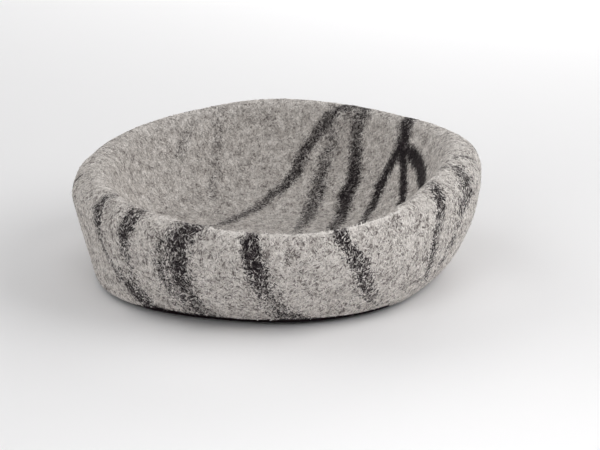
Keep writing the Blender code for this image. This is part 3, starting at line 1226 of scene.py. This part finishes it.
def scattering(shapes, layer, wool):
    """Geometry nodes that scatter strands over felt, each turned, tilted and sized by chance."""
    tree = bpy.data.node_groups.new("scattered strands", "GeometryNodeTree")
    for way in ("INPUT", "OUTPUT"):
        tree.interface.new_socket("Geometry", in_out=way, socket_type="NodeSocketGeometry")
    start = add_node(tree, "NodeGroupInput", (-1200, 0))
    end = add_node(tree, "NodeGroupOutput", (1200, 0))
    points = strand_points(tree, start.outputs["Geometry"], layer, wool)
    rotation = strand_rotation(tree, points.outputs["Rotation"], layer, wool)
    size = random_value(tree, (-800, -1000), "FLOAT_VECTOR", *STRAND_SIZES, layer.seed + 2)
    last = len(STRAND_BENDS) - 1
    pick = random_value(tree, (-400, -1000), "INT", 0, last, layer.seed + 3)
    inputs = {"Collection": shapes, "Separate Children": True, "Reset Children": True}
    kinds = add_node(tree, "GeometryNodeCollectionInfo", (-600, -1200), inputs)
    inputs = {
        "Points": points.outputs["Points"],
        "Instance": kinds.outputs["Instances"],
        "Pick Instance": True,
        "Instance Index": pick,
        "Rotation": rotation,
        "Scale": size,
    }
    strands = add_node(tree, "GeometryNodeInstanceOnPoints", (0, 0), inputs).outputs["Instances"]
    ranges = (("strand_tone", layer.darkest, layer.lightest), ("strand_chance", 0.0, 1.0))
    for i, (name, low, high) in enumerate(ranges):
        x = 300 + 200 * i
        value = random_value(tree, (x - 200, -400), "FLOAT", low, high, layer.seed + 4 + i)
        keep = add_node(
            tree,
            "GeometryNodeStoreNamedAttribute",
            (x, 0),
            {"Geometry": strands, "Name": name},
            data_type="FLOAT",
            domain="INSTANCE",
        )
        feed(tree, next(s for s in keep.inputs if s.type == "VALUE" and s.enabled), value)
        strands = keep.outputs["Geometry"]
    real = add_node(tree, "GeometryNodeRealizeInstances", (800, 0), {"Geometry": strands})
    feed(tree, end.inputs["Geometry"], real.outputs["Geometry"])
    return tree


def lay_strands(cave, layer, wool, material):
    """Scatter one layer of strands over the cave's visible felt, as a plain mesh."""
    shapes = bpy.data.collections.new("strands")
    for bend in STRAND_BENDS:
        shapes.objects.link(make_strand(bend, layer))
    corners = len(shapes.objects[0].data.loops)
    piece = add_object(layer.name, cave.data)
    nodes = piece.modifiers.new("scattered strands", "NODES")
    nodes.node_group = scattering(shapes, layer, wool)
    view = bpy.context.evaluated_depsgraph_get()
    mesh = bpy.data.meshes.new_from_object(piece.evaluated_get(view))
    mesh.name = layer.name
    piece.modifiers.clear()
    piece.data = mesh
    mesh.materials.clear()
    mesh.materials.append(material)
    spread_map(mesh, corners)
    carry(piece)
    for strand in list(shapes.objects):
        bpy.data.objects.remove(strand)
    bpy.data.collections.remove(shapes)


def spread_map(mesh, corners):
    """Give each strand, of so many face corners, its own cell of one square map."""
    layer = mesh.uv_layers["OFBake"]
    across = math.ceil(math.sqrt(len(mesh.loops) / corners))
    places = [0.0] * (2 * len(mesh.loops))
    layer.uv.foreach_get("vector", places)
    for corner in range(len(mesh.loops)):
        row, column = divmod(corner // corners, across)
        places[2 * corner] = (column + places[2 * corner]) / across
        places[2 * corner + 1] = (row + places[2 * corner + 1]) / across
    layer.uv.foreach_set("vector", places)


def loose_wool_material(wool, dark_wool, mottle):
    """Strands of ivory, grey and brown wool, and of charcoal wool where it was laid."""
    material = bpy.data.materials.new("loose_wool")
    shader = wool_shader(material)
    tree = material.node_tree
    vector = add_node(tree, "ShaderNodeTexCoord", (-2000, 0)).outputs["Object"]
    laid = on_vector(tree, (-1700, -300), dark_wool, vector)
    patches = on_vector(tree, (-1700, 0), mottle, vector)
    tone = matted(tree, attribute(tree, (-1700, 300), "strand_tone"))
    tone = maths(tree, (-900, 200), "ADD", tone, patches.outputs["Shift"])
    colour = wool_colour(tree, tone, wool)
    chance = attribute(tree, (-1700, -600), "strand_chance")
    share = dark_share(tree, laid.outputs["Share"], chance)
    colour = tint(tree, (-200, 200), share, colour, dark_colour(tree, tone, wool))
    feed(tree, shader.inputs["Base Color"], colour)
    return material


class FELTCAVE_OT_loose_wool(bpy.types.Operator):
    """Scatter loose strands of wool over the finished felt"""

    bl_idname = "felt_cave.add_loose_wool"
    bl_label = "Loose Wool"

    def execute(self, context):
        scene = context.scene
        wool = scene.felt_cave_loose_wool
        cave = bpy.data.objects["felt_pouch"]
        groups = bpy.data.node_groups
        material = loose_wool_material(
            scene.felt_cave_wool, groups["dark wool"], groups["mottle"]
        )
        for layer in LAYERS:
            lay_strands(cave, layer, wool, material)
        return {"FINISHED"}


class FELTCAVE_OT_studio(bpy.types.Operator):
    """Add a plain pale floor, soft light and the camera"""

    bl_idname = "felt_cave.add_studio"
    bl_label = "Studio"

    def execute(self, context):
        studio = context.scene.felt_cave_studio
        make_floor(studio)
        make_lights(context.scene, studio)
        make_camera(context.scene)
        return {"FINISHED"}


def make_floor(studio):
    """A wide pale floor under the cave."""
    ground = bmesh.new()
    bmesh.ops.create_grid(ground, x_segments=1, y_segments=1, size=FLOOR_REACH)
    floor = add_object("floor", new_mesh(ground, "floor"))
    material = bpy.data.materials.new("pale_floor")
    material.use_nodes = True
    shader = material.node_tree.nodes["Principled BSDF"]
    shader.inputs["Base Color"].default_value = opaque(studio.floor)
    shader.inputs["Roughness"].default_value = 0.8
    shader.inputs["Specular IOR Level"].default_value = 0.2
    floor.data.materials.append(material)


def make_lights(scene, studio):
    """White all round, wide soft lamps, and lamps over the floor beside and behind the cave."""
    scene.view_settings.view_transform = "Standard"
    world = bpy.data.worlds.new("white studio")
    world.use_nodes = True
    background = world.node_tree.nodes["Background"]
    background.inputs["Color"].default_value = (1.0, 1.0, 1.0, 1.0)
    background.inputs["Strength"].default_value = studio.sky
    scene.world = world
    for soft in SOFT_LAMPS:
        lamp = bpy.data.lights.new(soft.name, "SUN")
        lamp.energy = soft.power * studio.lamps
        lamp.angle = math.radians(soft.softness)
        light = add_object(soft.name, lamp)
        light.rotation_euler = (
            math.radians(90 - soft.up), 0.0, math.radians(soft.direction + 90)
        )
    for beside in FLOOR_LAMPS:
        lamp = bpy.data.lights.new(beside.name, "AREA")
        lamp.energy = beside.power * studio.floor_lamps
        lamp.size = beside.size
        lamp.spread = math.radians(beside.spread)
        light = add_object(beside.name, lamp)
        light.location = beside.place
        way = Vector(beside.target) - light.location
        light.rotation_euler = way.to_track_quat("-Z", "Y").to_euler()


def make_camera(scene):
    """The camera at the photo's viewing angle."""
    lens = bpy.data.cameras.new("camera")
    lens.lens = LENS
    lens.sensor_width = SENSOR
    camera = add_object("camera", lens)
    camera.location = CAMERA_PLACE
    camera.rotation_euler = (math.radians(90) - LOOKING_DOWN, 0.0, 0.0)
    scene.camera = camera


class FELTCAVE_PT_panel(bpy.types.Panel):
    """Lists the parts of the felt cave in the 3D view's sidebar"""

    bl_label = "Felt Cave"
    bl_idname = "FELTCAVE_PT_panel"
    bl_space_type = "VIEW_3D"
    bl_region_type = "UI"
    bl_category = "Felt Cave"

    def draw(self, context):
        scene = context.scene
        for operator, *groups in (
            (FELTCAVE_OT_pouch, scene.felt_cave_felt, scene.felt_cave_wool),
            (FELTCAVE_OT_loose_wool, scene.felt_cave_loose_wool),
            (FELTCAVE_OT_studio, scene.felt_cave_studio),
        ):
            box = self.layout.box()
            for group in groups:
                for name in group.__annotations__:
                    box.prop(group, name)
            box.operator(operator.bl_idname)


CLASSES = (
    FeltProperties,
    WoolProperties,
    LooseWoolProperties,
    StudioProperties,
    FELTCAVE_OT_pouch,
    FELTCAVE_OT_loose_wool,
    FELTCAVE_OT_studio,
    FELTCAVE_PT_panel,
)


def register():
    for item in CLASSES:
        bpy.utils.register_class(item)
    scene = bpy.types.Scene
    scene.felt_cave_felt = PointerProperty(type=FeltProperties)
    scene.felt_cave_wool = PointerProperty(type=WoolProperties)
    scene.felt_cave_loose_wool = PointerProperty(type=LooseWoolProperties)
    scene.felt_cave_studio = PointerProperty(type=StudioProperties)


def unregister():
    scene = bpy.types.Scene
    del scene.felt_cave_felt
    del scene.felt_cave_wool
    del scene.felt_cave_loose_wool
    del scene.felt_cave_studio
    for item in reversed(CLASSES):
        bpy.utils.unregister_class(item)


def main():
    register()
    bpy.ops.felt_cave.add_pouch()
    bpy.ops.felt_cave.add_loose_wool()
    bpy.ops.felt_cave.add_studio()


if __name__ == "__main__":
    main()
